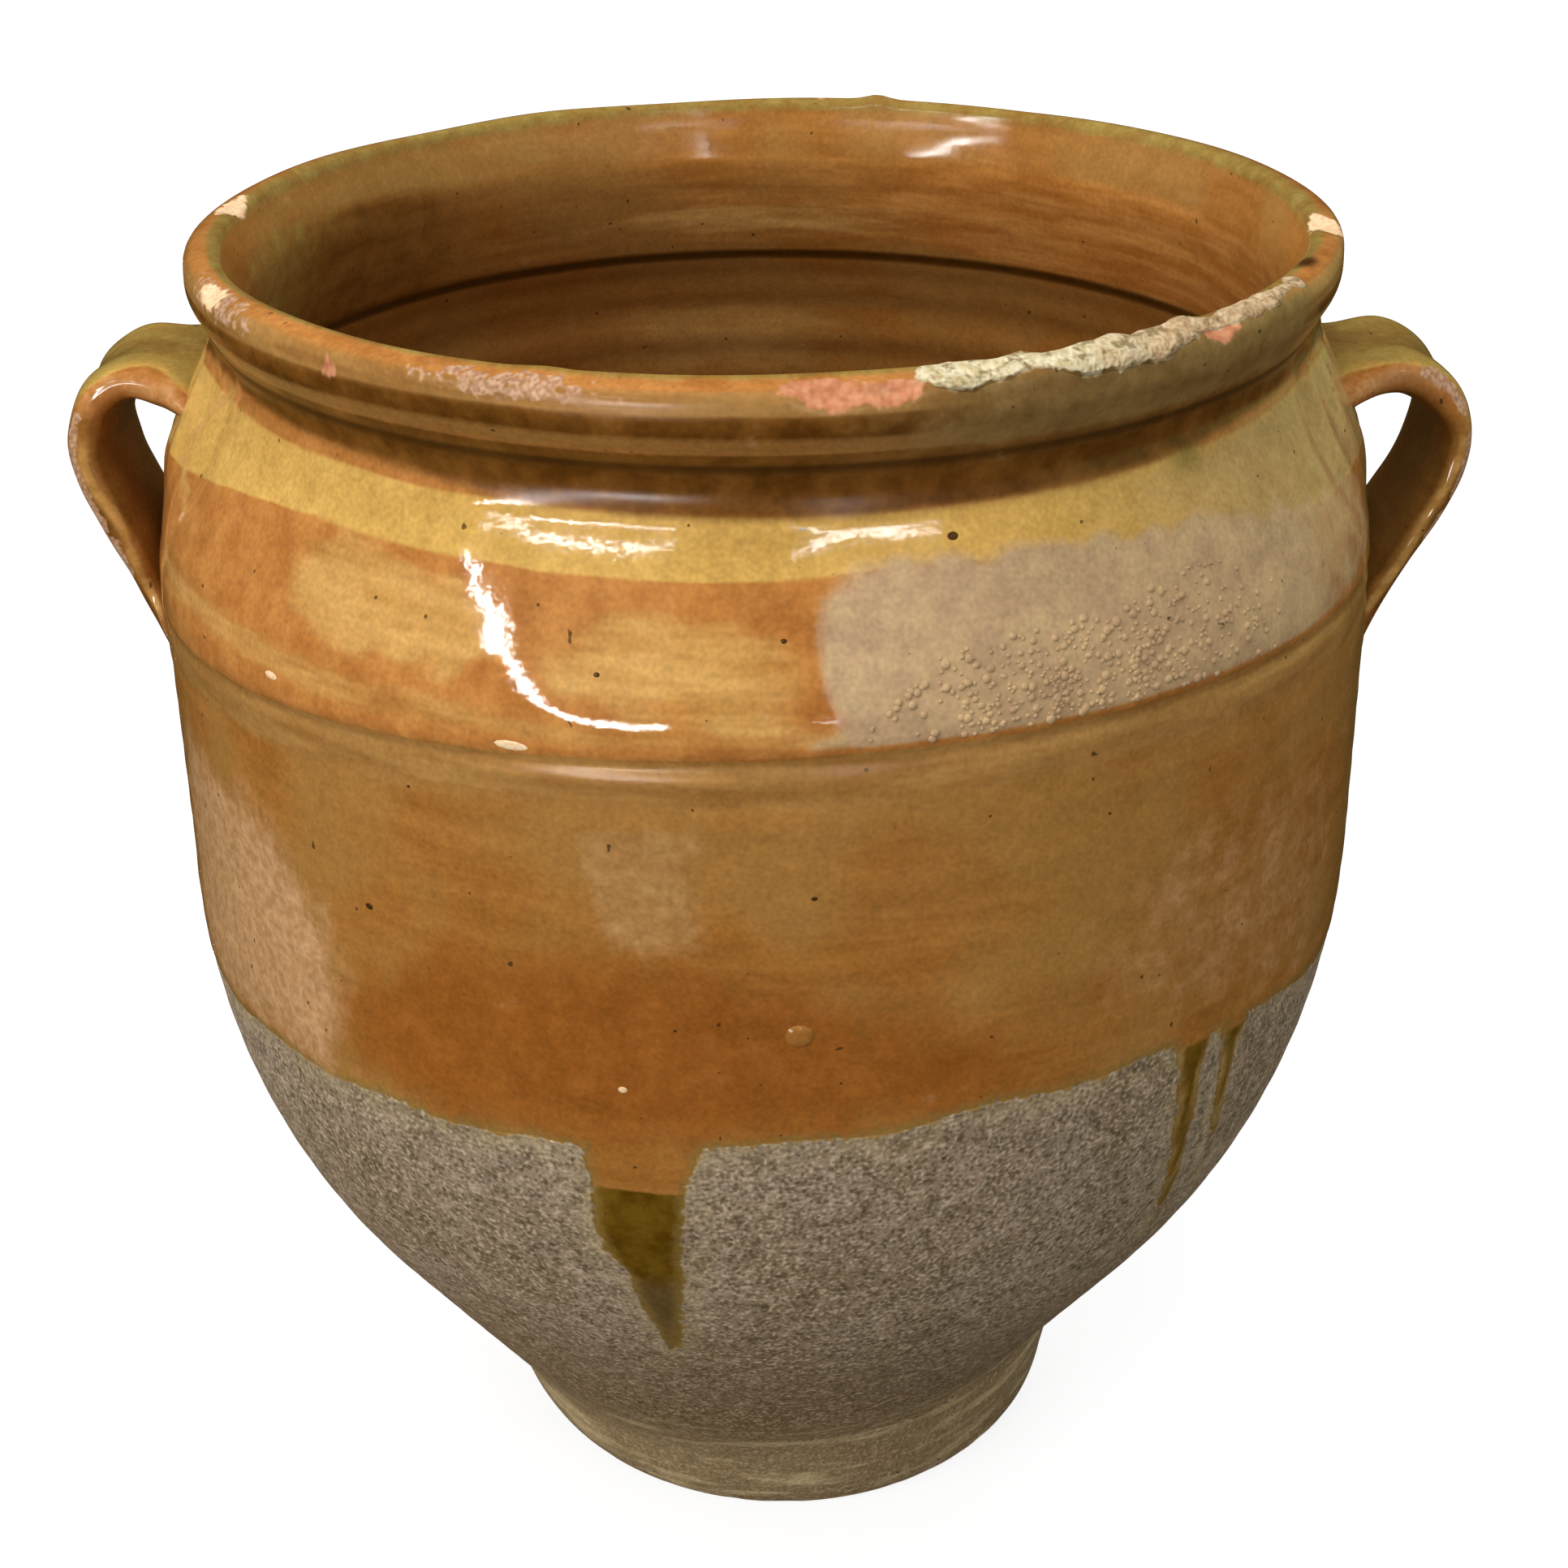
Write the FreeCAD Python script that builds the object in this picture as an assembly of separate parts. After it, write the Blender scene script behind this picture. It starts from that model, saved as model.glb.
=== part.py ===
import FreeCAD, Part
import math
import os
from FreeCAD import Vector

# Confit pot: a thrown earthenware pot with a turned foot and two strap handles, fired as one piece.
# Millimetres. The origin lies on the thrown axis in the plane that the pot rests on, +Z is up,
# the handles lie along X, and the side with the long glaze drip faces -Y.

# Heights from the resting plane
pot_height = 275.4
belly_height = 108.1
foot_height = 30.0

# Depths below the top of the lip, down the outside
band_drop = 5.9
crease_drop = 14.4
neck_drop = 18.9
shoulder_drop = 55.8
groove_drop = 58.4

# Outer radii where the straight runs of the wall meet, before their corners are rounded. The
# shoulder and neck stand in from the belly, and the crease and rim band stand out from the neck.
belly_radius = 121.4
lower_radius = 52.4
shoulder_inset = 2.9
neck_inset = 19.1
crease_stand = 2.1
band_stand = 6.0
shoulder_round = 55.0

# Lip: a half oval over the rim band, drawn in short runs
lip_inset = 0.7
lip_width = 9.1
lip_rise = 4.4
lip_runs_per_side = 3

# Tool line round the shoulder: a shallow groove left by the edge of the thrower's rib
groove_inset = 1.6
groove_width = 5.0
groove_slope = 0.5
groove_overcut = 2.0

# Wall and hollow. The inner wall widens from the floor to the belly in three runs, leans in above
# it, and hangs over a little below the neck: the overhang is that corner.
wall = 6.5
lower_wall = 9.0
floor_thickness = 13.0
floor_round_width = 24.0
floor_round_rise = 9.2
inner_belly_run = 45.7
inner_belly_ease = 5.0
upper_belly_ease = 0.65
throat_drop = 19.4
overhang_drop = 35.9
overhang_depth = 5.7
undercut_drop = 14.0

# Foot: turned a little off the thrown axis
foot_radius = 61.0
foot_top_radius = 66.5
foot_off_centre = 4.2
foot_edge = 1.2

# Strap handles: how they are cut and where they join, the same on both sides
strap_width = 32.0
strap_edge_cut = 2.8
strap_root_drop = 36.9
strap_root_depth = 3.0
valley_width = 15.0
valley_depth = 1.2
crown_round = 13.0
elbow_round = 45.0
heel_thinning = 0.75
largest_edge_share = 0.36

# The left handle is thicker, and the right one reaches further out. A reach is how far the
# outside stands out from the belly, and the drops are below the top of the lip.
left_reach = 12.9
left_thickness = 8.8
left_crown_drop = 30.9
left_elbow_drop = 47.4
left_heel_drop = 85.4
right_reach = 16.8
right_thickness = 7.6
right_crown_drop = 29.9
right_elbow_drop = 49.4
right_heel_drop = 89.4

# Chips out of the lip: turn about the axis in degrees from +X, and the depth of the bite
chip_curve = 16.0
chips = {
    "front": (-81.8, 1.6),
    "front right": (-47.0, 1.3),
    "right": (-9.4, 1.5),
    "left": (174.6, 1.2),
}

# Lump of clay left on the lip at the back
lump_turn = 75.0
lump_radius = 6.3
lump_top_radius = 3.2
lump_height = 5.5
lump_stand = 1.1

# Radii that follow from those sizes
shoulder_radius = belly_radius - shoulder_inset
neck_radius = belly_radius - neck_inset
lip_radius = neck_radius + band_stand - lip_inset
mouth_radius = lip_radius - lip_width

# A corner's round takes up to this share of the shorter run beside it
largest_round_share = 0.47

# Two points closer than this are one point
touching = 0.01


def unit(vector):
    """Return the vector with length one."""
    return vector * (1.0 / vector.Length)


def rounded_edges(corners, rounds):
    """Join the corners with straight runs, and round each inner corner by its radius.

    A round of 0 leaves the corner sharp. A round is kept within just under half of the shorter run
    beside it, as a wall limits a fillet.
    """
    edges = []
    last = corners[0]
    for before, corner, after, radius in zip(corners, corners[1:], corners[2:], rounds):
        if radius == 0:
            edges.append(Part.makeLine(last, corner))
            last = corner
            continue
        back = unit(before - corner)
        ahead = unit(after - corner)
        half = back.getAngle(ahead) / 2.0
        room = largest_round_share * min((before - corner).Length, (after - corner).Length)
        setback = min(radius / math.tan(half), room)
        radius = setback * math.tan(half)
        start = corner + back * setback
        end = corner + ahead * setback
        middle = corner + unit(back + ahead) * (radius / math.sin(half) - radius)
        edges.append(Part.makeLine(last, start))
        edges.append(Part.Arc(start, middle, end).toShape())
        last = end
    edges.append(Part.makeLine(last, corners[-1]))
    return edges


def ball_round(before, corner, after):
    """Return the round that makes a corner part of a ball with its centre on the thrown axis."""
    back = unit(before - corner)
    ahead = unit(after - corner)
    inward = unit(back + ahead)
    return corner.x / abs(inward.x) * math.sin(back.getAngle(ahead) / 2.0)


def by_height(radius, height):
    """Return a point of the wall's section, in the plane of X and Z, by its height."""
    return Vector(radius, 0, height)


def by_drop(radius, drop):
    """Return a point of the wall's section by its depth below the top of the lip."""
    return Vector(radius, 0, pot_height - drop)


def turned(edges):
    """Turn a closed section about the thrown axis into a solid."""
    return Part.Face(Part.Wire(edges)).revolve(Vector(0, 0, 0), Vector(0, 0, 1), 360)


def lower_slope():
    """Return how much the lower wall widens for each millimetre that it rises."""
    return (belly_radius - lower_radius) / belly_height


def lip_points(first_run, last_run):
    """Return points over the lip. Run 0 starts at its outside, and the middle one at its top."""
    middle = (lip_radius + mouth_radius) / 2.0
    points = []
    for run in range(first_run, last_run + 1):
        angle = math.radians(90.0 * run / lip_runs_per_side)
        radius = middle + lip_width / 2.0 * math.cos(angle)
        points.append(by_drop(radius, lip_rise - lip_rise * math.sin(angle)))
    return points


def make_body():
    """The thrown body, solid to the axis: cone, belly, shoulder, neck and rim band."""
    corners = [
        by_height(lower_radius, 0),
        by_height(belly_radius, belly_height),
        by_drop(shoulder_radius, shoulder_drop),
        by_drop(neck_radius, neck_drop),
        by_drop(neck_radius + crease_stand, crease_drop),
        by_drop(neck_radius + band_stand, band_drop),
    ]
    belly_round = ball_round(corners[0], corners[1], corners[2])
    corners.extend(lip_points(0, lip_runs_per_side))
    corners.append(by_drop(0, 0))
    corners.append(by_height(0, 0))
    corners.append(corners[0])
    rounds = [belly_round, shoulder_round] + [0] * (len(corners) - 4)
    return turned(rounded_edges(corners, rounds))


def make_groove():
    """The tool line, as a ring with a three-cornered section to take away."""
    bottom = shoulder_radius - groove_inset
    half_height = groove_width / 2.0 + groove_overcut
    mouth = bottom + half_height * groove_slope
    corners = [
        by_drop(bottom, groove_drop),
        by_drop(mouth, groove_drop - half_height),
        by_drop(mouth, groove_drop + half_height),
        by_drop(bottom, groove_drop),
    ]
    return turned(rounded_edges(corners, [0, 0]))


def make_foot():
    """The turned foot, a short cone whose top is buried in the lower wall."""
    corners = [
        by_height(0, 0),
        by_height(foot_radius - foot_edge, 0),
        by_height(foot_radius, foot_edge),
        by_height(foot_top_radius, foot_height),
        by_height(0, foot_height),
        by_height(0, 0),
    ]
    foot = turned(rounded_edges(corners, [0, 0, 0, 0]))
    foot.translate(Vector(foot_off_centre, 0, 0))
    return foot


def make_hollow():
    """The space inside, from the floor to above the lip, to be taken out of the body."""
    slope = lower_slope()
    wall_across = lower_wall * math.sqrt(1 + slope * slope)
    floor_corner = lower_radius - wall_across + slope * floor_thickness
    inner_belly = belly_radius - wall
    inner_belly_height = (inner_belly - floor_corner) / slope + floor_thickness
    corners = [
        by_height(0, floor_thickness),
        by_height(floor_corner - floor_round_width / 2, floor_thickness),
        by_height(floor_corner + slope * floor_round_rise, floor_thickness + floor_round_rise),
        by_height(inner_belly - slope * inner_belly_run, inner_belly_height - inner_belly_run),
        by_height(inner_belly - inner_belly_ease, inner_belly_height + inner_belly_ease),
        by_height(inner_belly - upper_belly_ease, inner_belly_height + inner_belly_run),
        by_drop(shoulder_radius - wall, overhang_drop + undercut_drop),
        by_drop(mouth_radius + overhang_depth, overhang_drop),
        by_drop(mouth_radius, throat_drop),
    ]
    corners.extend(reversed(lip_points(lip_runs_per_side, 2 * lip_runs_per_side)))
    corners.append(by_drop(corners[-1].x, -lip_rise))
    corners.append(by_drop(0, -lip_rise))
    corners.append(corners[0])
    return turned(rounded_edges(corners, [0] * (len(corners) - 2)))


def strap_line(side, middle, offset, width):
    """Draw one line of a strap's side outline, at an offset outward from its middle line.

    It leaves the neck at the root, turns down at the crown, and in again at the elbow to the heel.
    """
    root, crown, elbow, heel = middle
    corners = [
        root + Vector(0, 0, offset),
        crown + Vector(offset, 0, offset),
        elbow + Vector(offset, 0, 0),
        heel + Vector(offset * heel_thinning, 0, 0),
    ]
    placed = [Vector(side * corner.x, -width / 2, corner.z) for corner in corners]
    return rounded_edges(placed, [crown_round + offset, elbow_round + offset])


def strap_layer(side, middle, low, high, width, edge_cut):
    """A layer of a strap between two offsets, with its long edges cut off.

    Its side outline is drawn in a plane of X and Z and widened along Y.
    """
    inner = strap_line(side, middle, low, width)
    outer = strap_line(side, middle, high, width)
    root_end = Part.makeLine(inner[0].Vertexes[0].Point, outer[0].Vertexes[0].Point)
    heel_end = Part.makeLine(inner[-1].Vertexes[-1].Point, outer[-1].Vertexes[-1].Point)
    outline = Part.Wire(Part.sortEdges(inner + outer + [root_end, heel_end])[0])
    layer = Part.Face(outline).extrude(Vector(0, width, 0))
    long_edges = []
    for edge in layer.Edges:
        runs_across = edge.BoundBox.YLength > touching
        for drawn in inner + outer:
            apart = edge.CenterOfMass - drawn.CenterOfMass
            if not runs_across and math.hypot(apart.x, apart.z) < touching:
                long_edges.append(edge)
    return layer.makeChamfer(edge_cut, long_edges)


def make_strap(side, reach, thickness, crown_drop, elbow_drop, heel_drop):
    """A strap handle on one side: out from the neck, round the crown, and down to the belly.

    A shallow valley runs along its back, where the thumb pulled it.
    """
    middle_reach = belly_radius + reach - thickness / 2
    middle = [
        by_drop(neck_radius + strap_root_depth, strap_root_drop),
        by_drop(middle_reach, crown_drop),
        by_drop(middle_reach, elbow_drop),
        by_drop(belly_radius - wall, heel_drop),
    ]
    edge_cut = min(strap_edge_cut, thickness * heel_thinning * largest_edge_share)
    back = thickness / 2
    strap = strap_layer(side, middle, -back, back, strap_width, edge_cut)
    valley_floor = back - valley_depth
    valley = strap_layer(side, middle, valley_floor, back + thickness, valley_width, valley_depth)
    return strap.cut(valley)


def make_straps():
    """Both handles."""
    left = make_strap(
        -1, left_reach, left_thickness, left_crown_drop, left_elbow_drop, left_heel_drop
    )
    right = make_strap(
        1, right_reach, right_thickness, right_crown_drop, right_elbow_drop, right_heel_drop
    )
    return [left, right]


def on_lip(turn, radius, height):
    """Return the point of the rim at a turn about the axis."""
    angle = math.radians(turn)
    return Vector(radius * math.cos(angle), radius * math.sin(angle), height)


def make_chips():
    """The larger chips of the lip, as round bites to take away from its outer edge."""
    bites = []
    for turn, depth in chips.values():
        away = (chip_curve - depth) / math.sqrt(2)
        bites.append(Part.makeSphere(chip_curve, on_lip(turn, lip_radius + away, pot_height + away)))
    return bites


def make_lump():
    """The lump of clay on the back of the lip."""
    lip_middle = (lip_radius + mouth_radius) / 2.0
    foot = on_lip(lump_turn, lip_middle, pot_height + lump_stand - lump_height)
    return Part.makeCone(lump_radius, lump_top_radius, lump_height, foot)


def make_pot():
    """The whole pot as one fired solid."""
    outside = make_body().fuse([make_foot()] + make_straps())
    outside = outside.cut(make_groove())
    pot = outside.cut(make_hollow())
    pot = pot.fuse(make_lump())
    return pot.cut(make_chips())


def main():
    """Build the pot and write it."""
    os.makedirs("parts", exist_ok=True)
    pot = make_pot()
    print("solids", len(pot.Solids), "valid", pot.isValid(), "litres of clay", pot.Volume / 1e6)
    pot.Solids[0].exportStep("parts/pot.step")


main()
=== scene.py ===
# %% [markdown]
# # A glazed confit pot
# This pot was thrown on a wheel, given two strap handles, and dipped upside down in honey glaze, so its
# lower part stayed bare. We rebuild its skin as one dense turned mesh, because every mark on it follows
# either the turn about the wheel's axis or the height up the wall. Lengths are millimetres until a mesh
# is made, where MM turns them into Blender's metres. Lamps and cards are placed in metres.

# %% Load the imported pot
import math
import bpy
import numpy as np
from mathutils import Matrix, Vector


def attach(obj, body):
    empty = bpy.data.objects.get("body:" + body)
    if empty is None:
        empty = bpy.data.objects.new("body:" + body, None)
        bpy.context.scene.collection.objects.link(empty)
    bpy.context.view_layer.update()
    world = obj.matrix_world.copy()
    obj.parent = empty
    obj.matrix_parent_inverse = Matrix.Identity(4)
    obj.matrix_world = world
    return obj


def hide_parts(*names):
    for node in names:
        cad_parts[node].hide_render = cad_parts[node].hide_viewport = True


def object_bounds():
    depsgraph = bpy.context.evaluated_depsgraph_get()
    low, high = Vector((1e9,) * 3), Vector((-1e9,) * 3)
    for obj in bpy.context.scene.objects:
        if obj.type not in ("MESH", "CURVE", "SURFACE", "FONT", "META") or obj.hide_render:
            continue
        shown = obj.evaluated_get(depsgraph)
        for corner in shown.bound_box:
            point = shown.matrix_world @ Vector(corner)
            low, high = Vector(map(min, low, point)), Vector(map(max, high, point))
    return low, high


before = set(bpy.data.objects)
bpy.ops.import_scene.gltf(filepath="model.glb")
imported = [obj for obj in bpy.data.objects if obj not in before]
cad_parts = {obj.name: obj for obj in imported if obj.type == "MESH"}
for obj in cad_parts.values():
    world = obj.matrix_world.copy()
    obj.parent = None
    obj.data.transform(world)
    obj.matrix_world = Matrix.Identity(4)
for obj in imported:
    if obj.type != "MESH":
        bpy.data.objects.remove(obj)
cad_low, cad_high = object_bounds()
scene = bpy.context.scene
norm = np.linalg.norm
MM = 0.001
print("solid pot, mm:", [round(v / MM, 1) for v in cad_low], [round(v / MM, 1) for v in cad_high])

# %% [markdown]
# ## Helpers
# A colour picked on a screen is sRGB, and Blender's sockets want linear light, so one function turns
# one into the other. One more adds any shader node with its settings and links.

# %% Colour and node helpers
def linear(hex_colour):
    """Return the linear colour of an sRGB hex value."""
    parts = [int(hex_colour[i:i + 2], 16) / 255 for i in (1, 3, 5)]
    return [p / 12.92 if p <= 0.04045 else ((p + 0.055) / 1.055) ** 2.4 for p in parts] + [1.0]


def add(tree, kind, inputs=None, **settings):
    """Add a shader node of a kind, set its properties, and set or link its inputs."""
    node = tree.nodes.new("ShaderNode" + kind)
    for name, value in settings.items():
        setattr(node, name, value)
    for key, value in (inputs or {}).items():
        if isinstance(value, bpy.types.NodeSocket):
            tree.links.new(value, node.inputs[key])
        else:
            node.inputs[key].default_value = value
    return node


def put(name, data):
    """Put a new object into the scene to show a mesh, a lamp or a camera."""
    placed = bpy.data.objects.new(name, data)
    scene.collection.objects.link(placed)
    return placed


def empty_material(name):
    """Return a new material with no nodes, and its node tree."""
    material = bpy.data.materials.new(name)
    material.use_nodes = True
    material.node_tree.nodes.clear()
    return material, material.node_tree


print("white is", [round(c, 3) for c in linear("#ffffff")])

# %% [markdown]
# ## Camera
# The pot was seen from a little above, by a hand-held camera about half a metre away. A 52 mm lens at
# that distance gives the strong perspective of the wide mouth and the small foot.

# %% Camera
camera_place = Vector((-1.2, -429.1, 384.1)) * MM
camera_aim = Vector((4.4, 0.0, 149.9)) * MM
camera_roll = math.radians(-0.10)
lens = bpy.data.cameras.new("camera")
lens.lens = 52.17
lens.sensor_width = 36.0
lens.clip_start = 0.01
camera = put("camera", lens)
facing = (camera_aim - camera_place).to_track_quat("-Z", "Y").to_matrix().to_4x4()
camera.matrix_world = Matrix.Translation(camera_place) @ facing @ Matrix.Rotation(camera_roll, 4, "Z")
scene.camera = camera
print("camera looks down by", round(90 - math.degrees(camera.matrix_world.to_euler().x), 1), "degrees")

# %% [markdown]
# ## Floor and world
# The background is plain white. The floor looks white to the camera and in reflections, and stays a
# mid grey for the light that it bounces, so that the underside of the belly keeps its shade. Light is
# followed for three bounces, which is as far as it gets inside the pot with any strength.

# %% Floor and world
scene.view_settings.view_transform = "Standard"
scene.cycles.diffuse_bounces = 3
scene.cycles.glossy_bounces = 3


def seen_directly(tree):
    """Return a socket that is 1 for rays from the camera, off gloss and through glass."""
    path = add(tree, "LightPath")
    seen = path.outputs["Is Camera Ray"]
    for ray in ("Is Glossy Ray", "Is Transmission Ray"):
        seen = add(tree, "Math", {0: seen, 1: path.outputs[ray]}, operation="MAXIMUM").outputs[0]
    return seen


def make_plain_mesh(name, points, faces, material):
    """Make a staging object, which isn't part of the pot, from points in metres."""
    mesh = bpy.data.meshes.new(name)
    mesh.from_pydata(points, [], faces)
    mesh.materials.append(material)
    placed = put(name, mesh)
    return placed


floor_material, tree = empty_material("pale_floor")
bounce = add(tree, "BsdfDiffuse", {"Color": linear("#7c7a74")})
shaded = add(tree, "BsdfDiffuse", {"Color": linear("#ffffff")})
glow = add(tree, "Emission", {"Color": linear("#ffffff"), "Strength": 1.12})
white = add(tree, "MixShader", {0: 0.76, 1: shaded.outputs[0], 2: glow.outputs[0]})
floor_look = add(tree, "MixShader",
                 {0: seen_directly(tree), 1: bounce.outputs[0], 2: white.outputs[0]})
add(tree, "OutputMaterial", {"Surface": floor_look.outputs[0]})
floor_material.cycles.emission_sampling = "NONE"
make_plain_mesh("floor", [(-6, -6, 0), (6, -6, 0), (6, 6, 0), (-6, 6, 0)], [(0, 1, 2, 3)], floor_material)

world_fill = 0.45
world = bpy.data.worlds.new("studio")
world.use_nodes = True
world.node_tree.nodes.clear()
tree = world.node_tree
strength = add(tree, "Mix", {0: seen_directly(tree), 2: world_fill, 3: 1.0}, data_type="FLOAT")
sky = add(tree, "Background", {"Color": linear("#ffffff"), "Strength": strength.outputs[0]})
add(tree, "OutputWorld", {"Surface": sky.outputs[0]})
world.cycles.sampling_method = "NONE"
scene.world = world
print("world fill", world_fill)

# %% [markdown]
# ## Lamps
# Soft lamps light the pot: a large one high on the left, a weaker one on the right, one behind, and one
# overhead that reaches down inside. They are kept out of the gloss, so that their rectangles don't show.

# %% Lamps
def lamp(name, centre, size, radiance, aim):
    """Add a rectangular area lamp, placed in metres, that shines with an even radiance."""
    light = bpy.data.lights.new(name, "AREA")
    light.shape = "RECTANGLE"
    light.size, light.size_y = size
    light.energy = radiance * math.pi * size[0] * size[1]
    holder = put(name, light)
    holder.location = centre
    holder.rotation_mode = "QUATERNION"
    holder.rotation_quaternion = (Vector(aim) - Vector(centre)).to_track_quat("-Z", "Y")
    holder.visible_glossy = False


pot_middle = (0.0, 0.0, 0.18)
lamp("overhead", (-0.20, -0.30, 1.70), (1.2, 1.0), 4.2, (0.0, 0.0, 0.2))
lamp("left_key", (-1.45, -1.20, 0.85), (1.2, 1.1), 6.0, pot_middle)
lamp("right_fill", (1.30, -1.30, 0.80), (0.9, 0.9), 2.5, pot_middle)
lamp("back_rim", (0.30, 1.50, 0.90), (1.4, 0.8), 3.2, pot_middle)

# %% [markdown]
# ## Cards for the gloss
# Glaze mirrors whatever stands round it, so a photographer of pots sets up cards. Dim ones keep the
# flanks from washing out, and bright narrow ones draw the ragged light line down the shoulder and the
# thin lines across its top. Cards are seen in the gloss alone and cast no light.

# %% Cards
def card(name, points, faces, hex_colour, strength):
    """Add a card that only glossy reflections can see."""
    material, tree = empty_material(name)
    shine = add(tree, "Emission", {"Color": linear(hex_colour), "Strength": strength})
    add(tree, "OutputMaterial", {"Surface": shine.outputs[0]})
    material.cycles.emission_sampling = "NONE"
    placed = make_plain_mesh(name, points, faces, material)
    placed.visible_camera = False
    placed.visible_diffuse = False
    placed.visible_transmission = False
    placed.visible_shadow = False


card_y = -1.5
one_face = [(0, 1, 2, 3)]
room_cards = [
    ("front_card", (-3, -1.6, 0), (3, -1.6, 2.0), "#352b1c", 1.0),
    ("table_card", (-3, -1.6, 0.003), (3, 1.45, 0.003), "#403318", 1.0),
    ("left_card", (-1.25, -0.6, 0), (-1.25, 1.4, 1.3), "#5a4c30", 1.0),
    ("right_card", (1.15, -0.9, 0), (1.15, 1.4, 1.3), "#868a50", 1.6),
    ("back_card", (-3, 1.45, 0), (3, 1.45, 2.0), "#40321a", 1.0),
    ("top_card", (-3, -1.6, 2.0), (3, 1.45, 2.0), "#4a3a1c", 1.0),
    ("far_left_card", (-3, -1.6, 0), (-3, 1.45, 2.0), "#4c4028", 1.0),
    ("far_right_card", (3, -1.6, 0), (3, 1.45, 2.0), "#4c4028", 1.0),
]
for name, low, high, hex_colour, brightness in room_cards:
    lies_flat = low[2] == high[2]
    second = (high[0], low[1] if lies_flat else high[1], low[2])
    fourth = (low[0], high[1] if lies_flat else low[1], high[2])
    card(name, [low, second, high, fourth], one_face, hex_colour, brightness)

left_window = [(-2.62, 1.50), (-2.20, 1.27), (-1.86, 1.11), (-1.60, 0.93), (-1.45, 0.70), (-1.28, 0.50),
               (-0.97, 0.235), (-0.46, 0.245), (-0.52, 1.21), (-0.89, 1.243), (-1.69, 1.43)]
right_window = [(0.37, 0.20), (0.9, 0.40), (1.03, 1.27), (0.68, 1.24), (0.30, 1.15)]
for name, corners in (("left_panel", left_window), ("right_panel", right_window)):
    panel_points = [(px, card_y - 0.02, pz) for px, pz in corners]
    card(name, panel_points, [tuple(range(len(corners)))], "#fff2dc", 0.35)


def light_line(name, line, half_width, ragged, strength, seed):
    """Add a bright ragged card along a line of points, each its x and z in metres."""
    rng = np.random.default_rng(seed)
    steps = 150
    along = np.linspace(0, len(line) - 1, steps)
    middle = np.array([np.interp(along, range(len(line)), [p[k] for p in line]) for k in (0, 1)]).T
    ahead = np.gradient(middle, axis=0)
    ahead /= norm(ahead, axis=1)[:, None]
    across = np.stack([-ahead[:, 1], ahead[:, 0]], 1)
    taper = np.sin(np.linspace(0.08, math.pi - 0.08, steps)) ** 0.5
    fine = rng.normal(0, 1, steps + 8)
    edges = []
    for direction in (-1, 1):
        coarse = np.convolve(rng.normal(0, 1, steps + 8), np.hanning(7) / 2, "same")[4:-4]
        rough_width = np.clip(1 + ragged * (coarse + 0.7 * fine[4:-4]), 0.15, 2)
        edges.append(middle + direction * across * (half_width * taper * rough_width)[:, None])
    points = [(p[0], card_y, p[1]) for pair in zip(*edges) for p in pair]
    faces = [(2 * i, 2 * i + 1, 2 * i + 3, 2 * i + 2) for i in range(steps - 1)]
    card(name, points, faces, "#ffffff", strength)


light_line("left_top_line", [(-2.5, 1.66), (-1.87, 1.53), (-1.69, 1.43), (-0.89, 1.245), (-0.52, 1.21)],
           0.007, 0.3, 70.0, 3)
light_line("right_top_line", [(0.11, 1.14), (0.39, 1.225), (0.68, 1.243), (1.03, 1.276)], 0.006, 0.3, 70.0, 4)
light_line("left_ragged_line", left_window[:7], 0.050, 0.7, 45.0, 5)
light_line("left_low_line", [(-1.02, 0.26), (-0.77, 0.19), (-0.61, 0.195), (-0.44, 0.245)], 0.055, 0.6, 45.0, 6)
light_line("right_ragged_line", [(0.39, 1.0), (0.36, 0.86), (0.35, 0.52), (0.345, 0.32), (0.20, 0.34)],
           0.028, 1.0, 12.0, 8)

# %% [markdown]
# ## The thrown section
# A thrower thinks of a pot as a section turned round. Ours is straight runs with rounded corners: cone,
# belly, shoulder, hollow neck, crease, rim band and lip, then down the inside, where the wall hangs
# over a little below the neck. Each corner is radius, height and how much it is rounded.

# %% Section
outside_corners = [(52.4, 0.0, 0), (121.6, 108.1, 140), (118.5, 219.6, 55), (102.3, 256.5, 6),
                   (104.0, 261.0, 3), (107.9, 268.0, 6), (107.5, 274.2, 4.5), (103.2, 275.4, 3)]
inside_corners = [(100.7, 274.6, 6), (98.4, 262.0, 14), (98.7, 254.0, 20), (104.6, 238.6, 2),
                  (112.0, 225.5, 16), (115.4, 160.0, 120), (110.0, 112.0, 90), (50.0, 13.0, 26),
                  (0.0, 13.0, 0)]


def rounded_line(corners, fine=0.1):
    """Return close points along straight runs whose corners are rounded."""
    ends = np.array([c[:2] for c in corners], float)
    points = [ends[0]]
    for before, corner, after, spec in zip(ends, ends[1:], ends[2:], corners[1:]):
        back = (before - corner) / norm(before - corner)
        ahead = (after - corner) / norm(after - corner)
        half = math.acos(float(np.clip(back @ ahead, -1, 1))) / 2
        room = 0.49 * min(norm(before - corner), norm(after - corner))
        setback = min(spec[2] / math.tan(half), room)
        radius = setback * math.tan(half)
        start, end = corner + back * setback, corner + ahead * setback
        centre = corner + (back + ahead) / norm(back + ahead) * radius / math.sin(half)
        sweep = np.linspace(0, 1, max(6, int(radius * (math.pi - 2 * half) / fine)))[:, None]
        chord = start * (1 - sweep) + end * sweep - centre
        points.extend(centre + chord / norm(chord, axis=1)[:, None] * radius)
    points.append(ends[-1])
    return np.array(points)


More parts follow.
